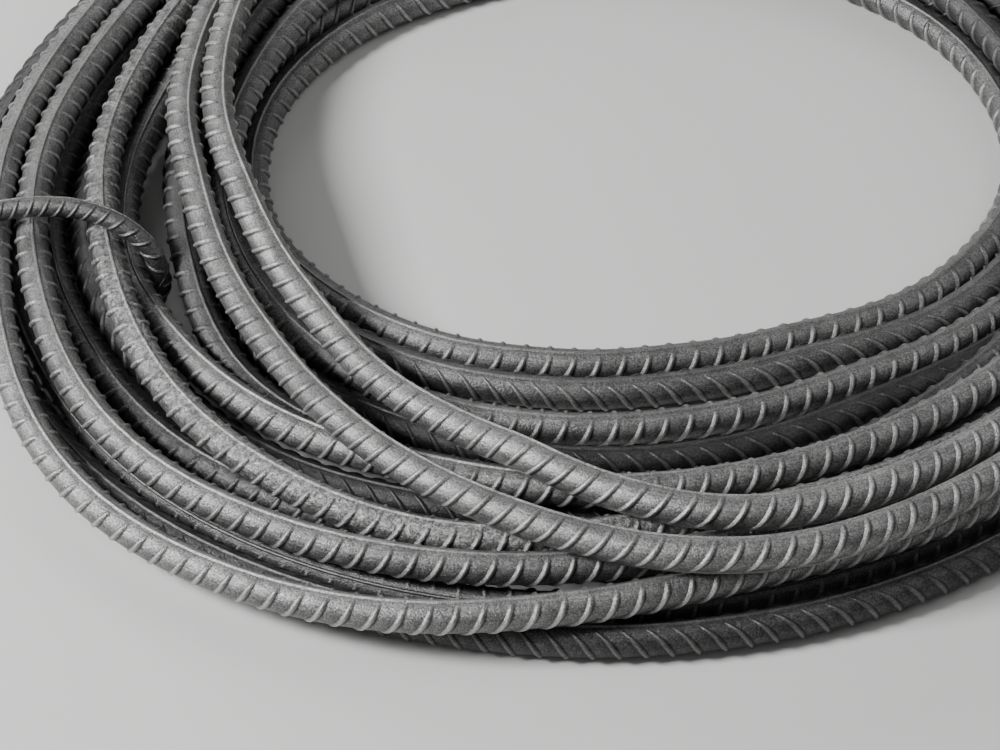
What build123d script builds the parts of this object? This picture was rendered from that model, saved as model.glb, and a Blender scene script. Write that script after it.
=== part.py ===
"""Coil of ribbed reinforcing bar, held together at one side by a hoop bent from thinner bar.

Z is up and Z 0 is the floor it lies on. All sizes are in millimetres.
The turns lie in three groups, each turned about its own axis and fused where they meet.
A turn shows as a ridge of flats, and the bar's own ribs are left off.
"""
import os
from math import atan, atan2, cos, degrees, pi, radians, sin, sqrt, tan

from build123d import *

os.makedirs("parts", exist_ok=True)

# The coil's bar, and how closely its turns lie
BAR_R = 6.5                   # half the bar's width over its ribs
BAR_FLATS = 6                 # two of them level
BAR_CORNER = BAR_R / cos(pi / BAR_FLATS)
FLAT_HALF = BAR_R * tan(pi / BAR_FLATS)
PITCH = 12.8                  # turn to neighbouring turn, so touching turns fuse
ROW_H = PITCH * sqrt(3) / 2   # row to row, where one turn lies between two below it

# The hoop's bar
TIE_R = 4.0
TIE_FLATS = 6
TIE_GAP = 0.5                 # clearance between the hoop and the turns it holds
TIE_ANGLE = 197               # where the hoop stands round the coil, from +X

# The turns that the hoop holds are the widest. The hoop's bar lifts them at its own side,
# and on the other side they lie on the floor
HELD_R = 179.2                # radius of the lower row's innermost turn
HELD_LOW = 5
held_low = [(HELD_R + i * PITCH, BAR_R) for i in range(HELD_LOW)]
held_top = [(HELD_R + (i + 0.5) * PITCH, BAR_R + ROW_H) for i in range(HELD_LOW - 1)]
HELD_REACH = held_low[-1][0]
HELD_EDGE = HELD_REACH + FLAT_HALF     # where the outermost turn meets the floor
HELD_RISE = (2 * TIE_R + TIE_GAP) / (HELD_EDGE + HELD_R - FLAT_HALF)
held_place = (
    Rot(0, 0, TIE_ANGLE) * Pos(-HELD_EDGE, 0, 0) * Rot(0, -degrees(atan(HELD_RISE)), 0) * Pos(HELD_EDGE, 0, 0)
)

# The hoop's centre line is a rounded rectangle round the held turns
TIE_IN = HELD_R - BAR_CORNER - TIE_GAP - TIE_R
TIE_OUT = HELD_REACH + BAR_CORNER + TIE_GAP + TIE_R
TIE_TOP = held_top[-1][1] + HELD_RISE * (HELD_EDGE + HELD_REACH) + BAR_R + TIE_GAP + TIE_R
TIE_BEND = 2 * TIE_R
TIE_MOUTH = 3.0               # gap left between the hoop's two ends, under the turns
TIE_MID = (TIE_IN + TIE_OUT) / 2

# The last two turns cross over: they lie on the loose ones at the hoop, just inside its leg,
# and between the held ones away from it
OVER_TURNS = 2
INSIDE_LEG = TIE_IN - TIE_R - TIE_GAP - BAR_CORNER
OVER_AWAY = (HELD_R + OVER_TURNS * PITCH - INSIDE_LEG) / 2   # their axis, on the side away from the hoop
OVER_R = INSIDE_LEG + OVER_AWAY - (OVER_TURNS - 1) * PITCH
OVER_Z = BAR_R + 1.5 * ROW_H
over = [(OVER_R + i * PITCH, 0) for i in range(OVER_TURNS)]
OVER_TILT = atan2(ROW_H, 2 * over[-1][0])
over_place = Rot(0, 0, TIE_ANGLE) * Pos(-OVER_AWAY, 0, OVER_Z) * Rot(0, degrees(OVER_TILT), 0)

# The loose turns lie on the floor, nearer the coil's back, and under the last ones at the hoop
LOOSE_TURNS = 4
LOOSE_BACK = 24.0             # their axis, behind the coil's
LOOSE_R = INSIDE_LEG - LOOSE_BACK * sin(radians(TIE_ANGLE)) - (LOOSE_TURNS - 0.5) * PITCH
loose = [(LOOSE_R + i * PITCH, BAR_R) for i in range(LOOSE_TURNS)]

with BuildPart() as held_turns:
    with BuildSketch(Plane.XZ):
        with BuildLine():
            Polyline(held_low[0], held_low[-1], held_top[-1], held_top[0], close=True)
        make_face()
        with Locations(*held_low, *held_top):
            RegularPolygon(BAR_R, BAR_FLATS, major_radius=False, rotation=90 - 180 / BAR_FLATS)
    revolve(axis=Axis.Z)

with BuildPart() as loose_turns:
    with BuildSketch(Plane.XZ):
        with Locations(*loose):
            RegularPolygon(BAR_R, BAR_FLATS, major_radius=False, rotation=90 - 180 / BAR_FLATS)
    revolve(axis=Axis.Z)

with BuildPart() as over_turns:
    with BuildSketch(Plane.XZ):
        with Locations(*over):
            RegularPolygon(BAR_R, BAR_FLATS, major_radius=False, rotation=90 - 180 / BAR_FLATS)
    revolve(axis=Axis.Z)

with BuildPart() as coil:
    add(held_turns.part.moved(held_place))
    add(loose_turns.part.moved(Pos(0, LOOSE_BACK, 0)))
    add(over_turns.part.moved(over_place))
coil.part.label = "rebar_coil"
export_step(coil.part, "parts/rebar_coil.step")


with BuildPart() as tie:
    with BuildLine() as bend:
        FilletPolyline(
            (TIE_MID + TIE_MOUTH / 2, 0, TIE_R),
            (TIE_OUT, 0, TIE_R),
            (TIE_OUT, 0, TIE_TOP),
            (TIE_IN, 0, TIE_TOP),
            (TIE_IN, 0, TIE_R),
            (TIE_MID - TIE_MOUTH / 2, 0, TIE_R),
            radius=TIE_BEND,
        )
    with BuildSketch(Plane.YZ.offset(TIE_MID + TIE_MOUTH / 2)):
        with Locations((0, TIE_R)):
            RegularPolygon(TIE_R, TIE_FLATS, major_radius=False, rotation=90 - 180 / TIE_FLATS)
    sweep()
tie.part.locate(Rot(0, 0, TIE_ANGLE))
tie.part.label = "tie_hoop"
export_step(tie.part, "parts/tie_hoop.step")
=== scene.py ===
import math

import bmesh
import bpy
import numpy as np
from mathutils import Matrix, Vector


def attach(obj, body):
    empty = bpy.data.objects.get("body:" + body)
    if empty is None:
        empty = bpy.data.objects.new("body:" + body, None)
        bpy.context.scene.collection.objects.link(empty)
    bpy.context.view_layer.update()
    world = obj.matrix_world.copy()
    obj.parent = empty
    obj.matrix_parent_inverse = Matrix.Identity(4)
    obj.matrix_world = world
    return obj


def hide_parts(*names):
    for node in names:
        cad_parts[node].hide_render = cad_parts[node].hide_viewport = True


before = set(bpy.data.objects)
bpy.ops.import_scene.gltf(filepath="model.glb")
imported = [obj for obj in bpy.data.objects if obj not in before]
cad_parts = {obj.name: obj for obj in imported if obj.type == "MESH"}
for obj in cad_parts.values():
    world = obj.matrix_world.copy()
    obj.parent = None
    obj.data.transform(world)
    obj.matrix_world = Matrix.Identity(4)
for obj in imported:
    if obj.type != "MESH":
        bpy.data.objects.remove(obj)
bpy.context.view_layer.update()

# The route of the coil: one hot-rolled ribbed bar, wound fifteen times round and laid on the floor. Only the
# tie holds its turns, so away from it they cross, sag and fan apart. Radii are in mm from the coil's axis. A
# layer is 0 on the floor, 1 on other turns and 2 on top.
MM = 0.001
STATIONS = [15, 45, 75, 105, 135, 165, 195, 225, 255, 285, 315, 345]   # degrees round the coil
FLAT = [0] * 12
TURNS = {
    # name: (radii at the stations, layers at the stations, roll in degrees, tone from dark to light, flaking)
    # The tones are partly the scale's own and partly painted shade: turns that lie low in shadow are made
    # darker
    "inner_1": ([150, 161, 160, 158, 149, 142, 131, 109, 91, 85, 94, 126], FLAT, -8, 0.38, 0.1),
    "inner_2": ([163, 174, 173, 171, 162, 155, 144, 122, 106, 98, 103, 135], FLAT, 170, 0.3, 0.2),
    "inner_3": ([176, 187, 186, 184, 160, 149, 139, 134, 123, 117, 121, 150],
                [0, 0, 0, 0, 1, 1, 1, 0.3, 0, 0, 0, 0], 352, 0.42, 0.1),
    "inner_4": ([189, 200, 199, 197, 178, 168, 157, 147, 140, 136, 136, 162], FLAT, 180, 0.05, 0.2),
    "low_2": ([204, 212, 211, 210, 205, 202, 204, 204, 185, 184, 186, 199], FLAT, 0, 0.22, 0.5),
    "low_3": ([217, 225, 224, 223, 218, 215, 218, 220, 211, 202, 200, 210], FLAT, -50, 0.2, 0.2),
    "low_4": ([229, 231, 220, 216, 231, 228, 231, 232, 224, 217, 212, 220],
              [0, 1, 1, 1, 0, 0, 0, 0, 0, 0, 0, 0], 180, 0.15, 0.4),
    "rim": ([210, 218, 207, 203, 224, 214, 220, 244, 234, 200, 200, 208],
            [1, 1, 1, 1, 1, 1, 1, 0.5, 1, 1, 1, 1], 362, 0.57, 0.2),
    "mid_1": ([197, 205, 194, 190, 211, 203, 211, 224, 210, 184, 188, 195], [1] * 12, 360, 0.52, 0.3),
    "mid_2": ([184, 193, 181, 177, 198, 185, 186, 196, 196, 177, 176, 182], [1] * 12, 360, 0.66, 1.0),
    "mid_3": ([170, 180, 168, 164, 190, 188, 192, 181, 165, 160, 160, 172],
              [1, 1, 1, 1, 0.4, 0, 0, 0, 0, 0, 0, 0], 180, 0.05, 0.3),
    "mid_4": ([157, 167, 171, 171, 170, 156, 156, 166, 151, 147, 149, 159],
              [1, 1, 1.7, 2, 2, 1, 1, 0, 0, 0, 0, 1], 0, 0.15, 0.2),
    "top_3": ([178, 186, 185, 184, 183, 171, 176, 175, 166, 160, 160, 172],
              [2, 2, 2, 2, 1.2, 0.8, 0.4, 0.8, 1, 1, 1, 1.6], 4, 0.5, 0.3),
    "top_1": ([193, 199, 198, 197, 182, 158, 138, 132, 153, 193, 190, 190],
              [2, 2, 2, 2, 2.2, 2.6, 2.4, 1.3, 1.6, 2, 2, 2], 22, 0.7, 0.1),
    "top_2": ([206, 212, 211, 210, 190, 162, 151, 154, 182, 210, 203, 202],
              [2, 2, 2, 2, 1.6, 1.6, 1.8, 1.5, 2.1, 2, 2, 2], 22, 0.6, 0.1),
}
RADII, LAYERS, ROLL, TONE, FLAKING = range(5)
HELD = ["top_3", "mid_3", "low_2", "low_3", "low_4", "mid_1", "mid_2", "rim"]   # the turns inside the tie
START = 106        # degrees: where a turn is counted from, out of sight behind the coil
FIRST = 4          # the first station after it
STEP = 2           # degrees between two points of a turn while it settles
BAR_WIDTH = 12.8   # mm over the ribs
LAYER_RISE = 11.0  # mm between layers before the bars settle into each other
RADIUS_EASE = 7    # degrees over which the corners in the table's radii are rounded off
HEIGHT_EASE = 8    # degrees over which those in its heights are
TIE_AT = 200       # degrees: the tie is at the coil's left
TIE_LIFT = 8.2     # mm that the tie's run on the floor lifts the held turns by
LIFT_EASE = 16     # degrees over which that lift dies away
ON_TIE = 5         # degrees to each side of the tie where the turns can't sink below it
LEG_AT, LEG_RADIUS, LEG_ROOM = 204, 170, 10.6   # where the tie's inner leg goes down, and the room it needs
OUTSIDE_LEG = 168  # mm: a turn that is wound wider than this passes outside the leg
ROUNDS = 360       # of settling
HOLDING = 0.75     # share of them in which the turns are drawn to the table's routes and sink
LAST_ROUNDS = 12   # in which only overlaps are cleared
PULL = 0.02        # share of its way back that a turn goes in the first round, and less in each later one
WEIGHT = 0.05      # mm that it sinks in a round
GIVE = 0.35        # share of an overlap by which each of the two bars gives way in a round
KINK_EASE = 3      # degrees over which the moves are evened out, in every second round


def smooth(row, width):
    """A row of numbers with its bumps rounded off over that many points, and its ends left in place."""
    reach = int(3 * width)
    bell = np.exp(-0.5 * (np.arange(-reach, reach + 1) / width) ** 2)
    front = 2 * row[0] - row[reach:0:-1]
    back = 2 * row[-1] - row[-2:-reach - 2:-1]
    return np.convolve(np.r_[front, row, back], bell / bell.sum(), "valid")


def wound(column):
    """One column of the turns' table, as one row of values along the whole bar."""
    rows = [turn[column][FIRST:] + turn[column][:FIRST] for turn in TURNS.values()]
    return np.concatenate(rows).astype(float)


def settled():
    """Angle, radius and height of the bar's centre all along it, once no two turns are in the same place."""
    count, per_turn = len(TURNS), 360 // STEP
    angle = START + STEP * np.arange(count * per_turn + 1)
    knots = STATIONS[FIRST] + 30 * np.arange(12 * count)
    wanted_r = smooth(np.interp(angle, knots, wound(RADII)), RADIUS_EASE / STEP)
    wanted_z = BAR_WIDTH / 2 + LAYER_RISE * np.interp(angle, knots, wound(LAYERS))
    lowest = np.full(len(angle), BAR_WIDTH / 2)
    for i, name in enumerate(TURNS):
        if name in HELD:
            away = np.abs(angle - (TIE_AT + 360 * i))
            wanted_z += TIE_LIFT * np.exp(-0.5 * (away / LIFT_EASE) ** 2)
            lowest[away <= ON_TIE] = BAR_WIDTH / 2 + TIE_LIFT
    wanted_z = smooth(wanted_z, HEIGHT_EASE / STEP)
    one, other = np.triu_indices(count, 1)
    beside_leg = np.radians(angle % 360 - LEG_AT) * LEG_RADIUS
    leg_room = np.sqrt(np.clip(LEG_ROOM ** 2 - beside_leg ** 2, 0, None))
    leg_side = np.where(wanted_r > OUTSIDE_LEG, 1, -1)
    r, z = wanted_r.copy(), wanted_z.copy()
    for k in range(ROUNDS):
        # Drawn to their routes, and down
        pull = PULL * max(0, 1 - k / (HOLDING * ROUNDS))
        z += (wanted_z - z) * pull - WEIGHT * (k < HOLDING * ROUNDS)
        r += (wanted_r - r) * pull
        # Pushed apart where two of them overlap
        turn_r, turn_z = r[:-1].reshape(count, per_turn), z[:-1].reshape(count, per_turn)
        dr, dz = turn_r[other] - turn_r[one], turn_z[other] - turn_z[one]
        apart = np.hypot(dr, dz) + 1e-6
        push = np.clip(BAR_WIDTH - apart, 0, None) / apart * GIVE
        move_r, move_z = np.zeros_like(turn_r), np.zeros_like(turn_z)
        for move, way in ((move_r, dr), (move_z, dz)):
            np.add.at(move, other, way * push)
            np.add.at(move, one, -way * push)
        r += np.append(move_r.ravel(), move_r.ravel()[-1])
        z += np.append(move_z.ravel(), move_z.ravel()[-1])
        # Kept clear of the tie's leg and above the floor, and straightened where they kink
        from_leg = (r - LEG_RADIUS) * leg_side
        r = np.where(leg_room > 0, LEG_RADIUS + leg_side * np.maximum(from_leg, leg_room), r)
        z = np.maximum(z, lowest)
        if k % 2 == 0 and k < ROUNDS - LAST_ROUNDS:
            r = wanted_r + smooth(r - wanted_r, KINK_EASE / STEP)
            z = wanted_z + smooth(z - wanted_z, KINK_EASE / STEP)
    return angle, r, z


FINE = 0.25        # degrees between two points of the finished route
FINE_EASE = 2      # degrees over which the settled points are rounded off
LOOK_EASE = 14     # degrees over which one turn's roll, tone and flaking go over into the next one's
TWIST, TWIST_SWING = 12, 8   # degrees that the bar is twisted by, and how much less at the tie
angle, radius, height = settled()
fine_angle = np.arange(angle[0], angle[-1] + FINE / 2, FINE)
fine_r = smooth(np.interp(fine_angle, angle, radius), FINE_EASE / FINE)
fine_z = smooth(np.interp(fine_angle, angle, height), FINE_EASE / FINE)
turned = np.radians(fine_angle)
coil_line = np.stack([fine_r * np.cos(turned), fine_r * np.sin(turned), fine_z], 1)
turn_at = np.minimum((fine_angle - START) // 360, len(TURNS) - 1).astype(int)
coil_roll, coil_tone, coil_flaking = (
    smooth(np.array([turn[column] for turn in TURNS.values()], float)[turn_at], LOOK_EASE / FINE)
    for column in (ROLL, TONE, FLAKING)
)
coil_roll += TWIST - TWIST_SWING * np.cos(np.radians(fine_angle - TIE_AT))


# The bar itself: hot-rolled reinforcing bar with two rows of slanting crescent ribs, one on each face, and
# two ribs along it, its seams, where the faces meet. Rolls press the ribs in, so they are part of the bar.
# Here the bar comes in lengths of one turn, which meet behind the coil, and its own two ends are cut square.
CORE = 5.55          # mm, radius between the ribs
RIB_HEIGHT = 0.85    # mm
RIB_PITCH = 8.4      # mm
RIB_RINGS = [2.6, 3.5, 4.1, 5.1, 5.9]   # mm along a pitch: a crescent's foot, crest, crest, foot, then bar
RIB_CREST = (1, 2)   # which of those rings are the crest
RIB_DIRT_AND_SHADE = np.array([0.5, 0, 0, 1, 0])   # how much dirt and painted shade sits at each of them, darkening the folds beside a crest
PER_RIB = len(RIB_RINGS)
RIB_TIP = 0.4        # width of a crescent's tip, as a share of its width in the middle
RIB_CURL = 2.1       # power of a crescent's bend: 1 is straight, and more slants its lower end the most
RIB_REACH = 70       # degrees from the middle of a face to a crescent's tip
RIB_SLANT = 5.5      # mm, half of what the slant comes to along the bar, from its underside to its top
SEAM_RIB = 0.5       # mm, height of the ribs along the bar
SEAM_HALF = 2        # degrees from the middle of such a rib to the edge of its top
SEAM_FOOT = 7        # degrees from its middle to its foot
SEAM_WEAR = 0.3      # how rubbed it is, where a crescent's crest is 1
UPPER_PAINTED_SHADE = 0.9     # how much less the crests are lightened on top than at the side: painted shade on their upper ends, painted highlight on their side-facing lower ends
FOOT_ANGLE = math.radians(24)   # where a rib meets the bar more steeply than this, the fold is crisp
# Degrees round the bar from the middle of a seam to each point over the next face
ACROSS_FACE = [-SEAM_HALF, SEAM_HALF, SEAM_FOOT] + list(range(18, 163, 12)) + [180 - SEAM_FOOT]
AROUND = np.array([seam + a for seam in (-90, 90) for a in ACROSS_FACE], float)
END_CUT = 9          # mm cut off a free end
END_ZONE = 30        # mm from it in which faces are cut


def lengths(line):
    """Distance along a line at each of its points."""
    return np.append(0, np.cumsum(np.linalg.norm(np.diff(line, axis=0), axis=1)))


def at_distance(far, line, along):
    """Points of a line at some distances along it, where far is the distance of each of its own points."""
    return np.stack([np.interp(along, far, line[:, k]) for k in range(3)], -1)


def ribbed_skin(name, line, first, last, roll, tone, flaking, size):
    """A tube with the bar's ribs along a line, from one distance to another, not yet closed."""
    pitch = RIB_PITCH * size
    rows = round((last - first) / pitch)
    bm = bmesh.new()
    bm.loops.layers.uv.new("UVMap")
    bmesh.ops.create_grid(bm, x_segments=PER_RIB * rows, y_segments=len(AROUND), size=0.5, calc_uvs=True)
    mesh = bpy.data.meshes.new(name)
    bm.to_mesh(mesh)
    bm.free()
    grid = np.empty(3 * len(mesh.vertices))
    mesh.vertices.foreach_get("co", grid)
    grid = grid.reshape(-1, 3) + 0.5
    ring = np.rint(grid[:, 0] * PER_RIB * rows).astype(int)
    face = AROUND[np.rint(grid[:, 1] * len(AROUND)).astype(int) % len(AROUND)]

    # How far each point stands out, and how far along the bar it is
    from_face = np.abs((face + 90) % 180 - 90)
    on_seam = from_face > 90 - SEAM_FOOT
    on_crest = np.isin(ring % PER_RIB, RIB_CREST)
    bulge = np.clip(np.cos(np.radians(from_face * 90 / RIB_REACH)), 0, None)
    crescent = np.sqrt(bulge * (from_face < RIB_REACH))
    rise = np.where(on_seam, SEAM_RIB * size, RIB_HEIGHT * size * crescent * on_crest)
    middle = (RIB_RINGS[0] + RIB_RINGS[3]) / 2
    within = middle + (np.array(RIB_RINGS)[ring % PER_RIB] - middle) * (RIB_TIP + (1 - RIB_TIP) * crescent)
    across = 1 - np.abs((face + 90) % 360 - 180) / 180
    wave = 1 - 2 * (1 - across) ** RIB_CURL
    along = first + pitch * (ring // PER_RIB) + size * (within - RIB_RINGS[0]) + RIB_SLANT * size * wave

    # Its place, on a circle across the line
    far = lengths(line)
    way = at_distance(far, np.gradient(line, axis=0), along)
    way /= np.linalg.norm(way, axis=1)[:, None]
    out = np.stack([way[:, 1], -way[:, 0], np.zeros(len(way))], 1)
    out /= np.linalg.norm(out, axis=1)[:, None]
    up = np.cross(out, way)
    facing = np.radians(face + np.interp(along, far, roll))
    spoke = np.cos(facing)[:, None] * out + np.sin(facing)[:, None] * up
    spot = at_distance(far, line, along) + (CORE * size + rise)[:, None] * spoke
    mesh.vertices.foreach_set("co", (spot * MM).ravel())
    unrolled = np.empty(2 * len(mesh.loops))
    mesh.uv_layers[0].data.foreach_get("uv", unrolled)
    unrolled = unrolled.reshape(-1, 2) * (rows * pitch * MM, 2 * math.pi * CORE * size * MM) + (first * MM, 0)
    mesh.uv_layers[0].data.foreach_set("uv", unrolled.ravel())

    # What the material and the cuts read at each point
    # Crests that face up are lightened less than those that face sideways: painted shade on top, painted
    # highlight at the side
    painted_side_light = 1 - UPPER_PAINTED_SHADE * np.clip(np.sin(facing), 0, 1)
    told = {
        "crest": np.maximum(crescent * on_crest * painted_side_light, SEAM_WEAR * on_seam),
        "seam": on_seam.astype(float),
        # dirt and painted shade in the folds at a crescent's feet
        "dirt_and_shade": crescent * RIB_DIRT_AND_SHADE[ring % PER_RIB],
        "along": along,
        "tone": np.interp(along, far, tone),
        "flaking": np.interp(along, far, flaking),
    }
    for key, values in told.items():
        mesh.attributes.new(key, "FLOAT", "POINT").data.foreach_set("value", values)
    return mesh


def ribbed_bar(name, line, first, last, roll, tone, flaking, size=1.0, cut=(False, False)):
    """A closed length of ribbed bar along a line, from one distance to another, its free ends cut square."""
    mesh = ribbed_skin(name, line, first, last, roll, tone, flaking, size)
    far = lengths(line)
    bm = bmesh.new()
    bm.from_mesh(mesh)
    bmesh.ops.remove_doubles(bm, verts=bm.verts, dist=1e-5)
    distance = bm.verts.layers.float["along"]
    for free, end_at, inwards in zip(cut, (first, last), (END_CUT, -END_CUT)):
        if free:
            end = Vector(at_distance(far, line, end_at)) * MM
            cut_at = Vector(at_distance(far, line, end_at + inwards)) * MM
            near = [f for f in bm.faces if all(abs(v[distance] - end_at) < END_ZONE for v in f.verts)]
            geom = dict.fromkeys(part for f in near for part in (f, *f.edges, *f.verts))
            bmesh.ops.bisect_plane(bm, geom=list(geom), plane_co=cut_at, plane_no=(end - cut_at).normalized(),
                                   clear_outer=True, dist=1e-6)
    for f in bm.faces:
        f.smooth = True
    seam = bm.verts.layers.float["seam"]
    for e in bm.edges:
        on_top = e.verts[0][seam] > 0.5 and e.verts[1][seam] > 0.5
        if e.is_manifold and (on_top or not e.is_convex) and e.calc_face_angle() > FOOT_ANGLE:
            e.smooth = False
    rims = [e for e in bm.edges if e.is_boundary]
    for e in rims:
        e.smooth = False
    bmesh.ops.holes_fill(bm, edges=rims, sides=0)
    bmesh.ops.recalc_face_normals(bm, faces=bm.faces)
    bm.to_mesh(mesh)
    bm.free()
    piece = bpy.data.objects.new(name, mesh)
    bpy.context.collection.objects.link(piece)
    return piece


along_coil = lengths(coil_line)
marks = np.interp(START + 360 * np.arange(len(TURNS) + 1), fine_angle, along_coil)
marks = np.rint(marks / RIB_PITCH) * RIB_PITCH
turn_pieces = []
for i, name in enumerate(TURNS):
    piece = ribbed_bar("turn_" + name, coil_line, marks[i], marks[i + 1], coil_roll, coil_tone, coil_flaking,
                       cut=(i == 0, i == len(TURNS) - 1))
    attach(piece, "root")
    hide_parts("rebar_coil")
    turn_pieces.append(piece)


# Mill scale on hot-rolled steel: the thin grey oxide skin that rolling leaves. The eye sees a half-matt grey,
# lighter on some turns than on others, partly the scale's own and partly painted shade on turns that lie in
# shadow, with a fine speckle, faint streaks along the bar, flaked patches, dirt and painted shade in the
# folds beside the ribs, and pale crests, partly where the ribs rub on each other and partly a painted
# highlight on their side-facing lower ends.
# The last grey lightens the rib crests: partly rubbed steel, partly a painted highlight
DARK_SCALE, LIGHT_SCALE, RUBBED_STEEL_AND_HIGHLIGHT = "#2b2b2b", "#9c9c9b", "#d2d2d1"
# Sizes of the patterns in mm, from how many there are to the metre
SPECKLE = 1000 / 1600              # a little coarser than the real grain so that it shows
BLOTCH = 1000 / 90                 # the patches that are lighter and duller
FLAKE = 1000 / 520                 # the edges of flaked scale
STREAK = (1000 / 60, 1000 / 1500)  # along and round the bar, wider than real roll marks so that they show


def linear(code):
    """An sRGB hex colour as linear red, green, blue and alpha."""
    parts = [int(code[k:k + 2], 16) / 255 for k in (1, 3, 5)]
    return tuple(c / 12.92 if c <= 0.04045 else ((c + 0.055) / 1.055) ** 2.4 for c in parts) + (1.0,)


def add(tree, kind, inputs=None, **settings):
    """Adds one node with its settings, and gives each input a value or a link."""
    made = tree.nodes.new(kind)
    for key, value in settings.items():
        setattr(made, key, value)
    for key, value in (inputs or {}).items():
        if isinstance(value, bpy.types.NodeSocket):
            tree.links.new(value, made.inputs[key])
        else:
            made.inputs[key].default_value = value
    return made


mill_scale = bpy.data.materials.new("hot_rolled_mill_scale")
mill_scale.use_nodes = True
tree = mill_scale.node_tree
tree.nodes.clear()
place = add(tree, "ShaderNodeTexCoord")
tone = add(tree, "ShaderNodeAttribute", attribute_name="tone")
crest = add(tree, "ShaderNodeAttribute", attribute_name="crest")
dirt_and_shade = add(tree, "ShaderNodeAttribute", attribute_name="dirt_and_shade")
flaking = add(tree, "ShaderNodeAttribute", attribute_name="flaking")
speckle = add(tree, "ShaderNodeTexNoise", {"Vector": place.outputs["Object"], "Scale": 1 / (SPECKLE * MM),
                                           "Detail": 3, "Roughness": 0.7})
blotch = add(tree, "ShaderNodeTexNoise", {"Vector": place.outputs["Object"], "Scale": 1 / (BLOTCH * MM),
                                          "Detail": 6, "Roughness": 0.65})
flake = add(tree, "ShaderNodeTexNoise", {"Vector": place.outputs["Object"], "Scale": 1 / (FLAKE * MM),
                                         "Detail": 5, "Roughness": 0.7, "Distortion": 0.3})
drawn = add(tree, "ShaderNodeMapping", {"Vector": place.outputs["UV"],
                                        "Scale": (1 / (STREAK[0] * MM), 1 / (STREAK[1] * MM), 1)})
streak = add(tree, "ShaderNodeTexNoise", {"Vector": drawn.outputs[0], "Scale": 1, "Detail": 3,
                                          "Roughness": 0.6})

# The scale's grey, with its patterns, and dirt and painted shade in the folds beside the ribs
# A turn's grey from its tone: partly the scale's own, partly painted shade on turns that lie low in shadow
base = add(tree, "ShaderNodeMix", {0: tone.outputs["Fac"], 6: linear(DARK_SCALE), 7: linear(LIGHT_SCALE)},
           data_type="RGBA")
specked = add(tree, "ShaderNodeMapRange", {"Value": speckle.outputs["Fac"], "From Min": 0.38,
                                           "From Max": 0.62, "To Min": 0.5, "To Max": 1.5})
mottled = add(tree, "ShaderNodeMapRange", {"Value": blotch.outputs["Fac"], "From Min": 0.35, "From Max": 0.65,
                                           "To Min": 0.8, "To Max": 1.16})
lined = add(tree, "ShaderNodeMapRange", {"Value": streak.outputs["Fac"], "From Min": 0.35, "From Max": 0.65,
                                         "To Min": 0.85, "To Max": 1.12})
flaked = add(tree, "ShaderNodeMapRange", {"Value": flake.outputs["Fac"], "From Min": 0.4, "From Max": 0.6,
                                          "To Min": 0.45, "To Max": 1.35})
patchy = add(tree, "ShaderNodeMix", {0: flaking.outputs["Fac"], 2: 1.0, 3: flaked.outputs[0]},
             data_type="FLOAT")
# The folds beside the crests darkened, down to a fifth: dirt and painted shade
dirt_and_shade_dim = add(tree, "ShaderNodeMapRange", {"Value": dirt_and_shade.outputs["Fac"], "To Min": 1.0, "To Max": 0.2})
shade = specked
for pattern in (mottled, lined, patchy, dirt_and_shade_dim):
    shade = add(tree, "ShaderNodeMath", {0: shade.outputs[0], 1: pattern.outputs[0]}, operation="MULTIPLY")
grey = add(tree, "ShaderNodeMix", {0: 1.0, 6: base.outputs[2], 7: shade.outputs[0]},
           data_type="RGBA", blend_type="MULTIPLY")

# The crests lightened, more on a light turn than on a dark one: partly rubbed steel, partly a painted
# highlight on their side-facing lower ends
crest_lightening = add(tree, "ShaderNodeMapRange", {"Value": tone.outputs["Fac"], "To Min": 0.05, "To Max": 0.65})
rubbed_and_lit = add(tree, "ShaderNodeMath", {0: crest.outputs["Fac"], 1: crest_lightening.outputs[0]}, operation="MULTIPLY")
colour = add(tree, "ShaderNodeMix", {0: rubbed_and_lit.outputs[0], 6: grey.outputs[2], 7: linear(RUBBED_STEEL_AND_HIGHLIGHT)},
             data_type="RGBA")

# A shine that differs from patch to patch, and the grain and flakes as a low relief
rough = add(tree, "ShaderNodeMapRange", {"Value": blotch.outputs["Fac"], "From Min": 0.3, "From Max": 0.7,
                                         "To Min": 0.32, "To Max": 0.5})
relief = add(tree, "ShaderNodeMath", {0: flake.outputs["Fac"], 1: flaking.outputs["Fac"]},
             operation="MULTIPLY")
relief = add(tree, "ShaderNodeMath", {0: relief.outputs[0], 1: 2.0, 2: speckle.outputs["Fac"]},
             operation="MULTIPLY_ADD")
bump = add(tree, "ShaderNodeBump", {"Height": relief.outputs[0], "Strength": 0.9, "Distance": 0.3 * MM})
shader = add(tree, "ShaderNodeBsdfPrincipled", {"Base Color": colour.outputs[2], "Metallic": 0.7,
                                                "Roughness": rough.outputs[0], "Normal": bump.outputs[0]})
add(tree, "ShaderNodeOutputMaterial", {"Surface": shader.outputs[0]})
for piece in turn_pieces:
    piece.data.materials.append(mill_scale)

# The tie: a short length of thinner ribbed bar with the same mill scale, bent by hand round the coil at its
# left to hold the turns. It runs on the floor below them, up outside the coil, over the top in a low round
# arch and down again inside.
TIE_SIZE = 0.63      # of the coil's bar: 8 mm over the ribs
TIE_ROUTE = [        # radius in mm, degrees and height in mm of the bar's centre, from its end below the coil
    (205, 199.5, 4.2), (225, 198, 4.2), (240, 197, 6), (246, 196.2, 14), (243, 196, 24), (236, 196, 31),
    (223, 196.4, 36.6), (209, 197, 38.6), (195, 198, 38.4), (181, 200.6, 35.8), (172, 203, 28),
    (170, 204, 16), (172, 204, 6), (186, 202.5, 4.2), (200, 200.6, 4.2),
]
TIE_POINT = 0.5      # mm between two points of its line
TIE_EASE = 9         # points over which its bends are rounded
TIE_SPARE = 4        # mm of the line left free at each end
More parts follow.
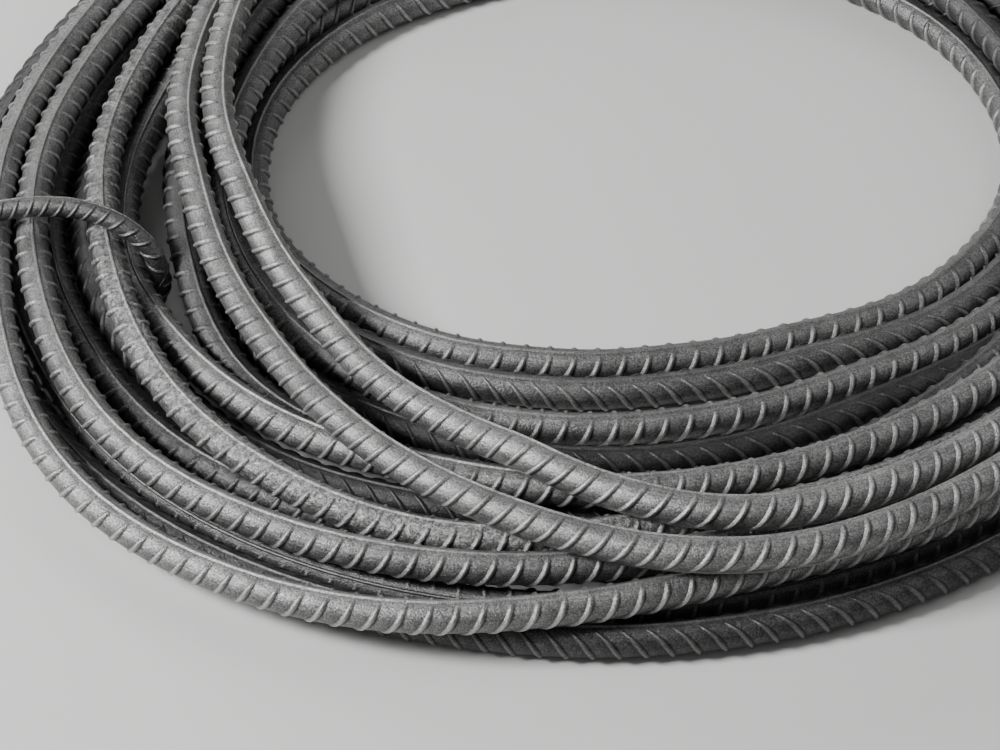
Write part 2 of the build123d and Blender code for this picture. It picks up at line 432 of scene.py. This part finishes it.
# The tie's dark tone is partly the scale's own and partly painted shade on its end, which goes down into
# shadow
TIE_ROLL, TIE_TONE, TIE_FLAKING = 20, 0.25, 0.3
bends = np.array([(r * math.cos(math.radians(a)), r * math.sin(math.radians(a)), z) for r, a, z in TIE_ROUTE])
bend_at = lengths(bends)
even = np.arange(0, bend_at[-1], TIE_POINT)
tie_line = np.stack([smooth(np.interp(even, bend_at, bends[:, k]), TIE_EASE) for k in range(3)], 1)
tie_pitch = RIB_PITCH * TIE_SIZE
tie_ribs = math.floor((lengths(tie_line)[-1] - 2 * TIE_SPARE) / tie_pitch)
tie_looks = [np.full(len(tie_line), float(look)) for look in (TIE_ROLL, TIE_TONE, TIE_FLAKING)]
tie = ribbed_bar("tie", tie_line, TIE_SPARE, TIE_SPARE + tie_ribs * tie_pitch, *tie_looks, size=TIE_SIZE,
                 cut=(True, True))
tie.data.materials.append(mill_scale)
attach(tie, "root")
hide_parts("tie_hoop")

# The floor: plain, pale and matt, and far wider than the view. It catches the coil's shadow and is no part of
# the object.
FLOOR_HALF = 12      # m
bm = bmesh.new()
bmesh.ops.create_grid(bm, x_segments=1, y_segments=1, size=FLOOR_HALF)
floor_mesh = bpy.data.meshes.new("floor")
bm.to_mesh(floor_mesh)
bm.free()
floor = bpy.data.objects.new("floor", floor_mesh)
bpy.context.collection.objects.link(floor)
pale = bpy.data.materials.new("matt_pale_floor")
pale.use_nodes = True
pale.node_tree.nodes["Principled BSDF"].inputs["Base Color"].default_value = linear("#b8b8b7")
pale.node_tree.nodes["Principled BSDF"].inputs["Roughness"].default_value = 0.9
floor_mesh.materials.append(pale)

# Soft studio light: a bright lamp above the left, weaker and broader ones from the front, the right and
# behind, and a dim even surround. Each lamp is aimed at the middle of the coil.
LAMPS = {
    # name: (place in m, width in m, power in W)
    "key": ((-1.2, -0.55, 1.0), 0.45, 60),
    "fill": ((-0.1, -1.5, 1.3), 1.2, 4),
    "right": ((1.3, 0.35, 1.2), 1.2, 13),
    "back": ((-0.8, 1.3, 0.8), 0.8, 10),
}
for name, (lamp_at, width, power) in LAMPS.items():
    lamp = bpy.data.lights.new(name, "AREA")
    lamp.size, lamp.energy = width, power
    lit = bpy.data.objects.new(name, lamp)
    lit.location = lamp_at
    lit.rotation_euler = (-Vector(lamp_at)).to_track_quat("-Z", "Y").to_euler()
    bpy.context.collection.objects.link(lit)
world = bpy.data.worlds.new("surround")
world.use_nodes = True
world.node_tree.nodes["Background"].inputs["Color"].default_value = linear("#bbbbbb")
world.node_tree.nodes["Background"].inputs["Strength"].default_value = 0.1
bpy.context.scene.world = world

# The camera: a long lens 42 degrees above the floor, so near that the coil's right and back leave the view.
# Its place follows from the ovals of the turns.
CAMERA_AT = (0.0770, -1.1533, 0.9635)
CAMERA_AIM = (-0.0349, -0.0891, 0.0)
FOCAL_LENGTH, SENSOR = 150, 36   # mm
lens = bpy.data.cameras.new("camera")
lens.lens, lens.sensor_width = FOCAL_LENGTH, SENSOR
lens.clip_start, lens.clip_end = 0.01, 30
camera = bpy.data.objects.new("camera", lens)
camera.location = CAMERA_AT
camera.rotation_euler = (Vector(CAMERA_AIM) - Vector(CAMERA_AT)).to_track_quat("-Z", "Y").to_euler()
bpy.context.collection.objects.link(camera)
bpy.context.scene.camera = camera
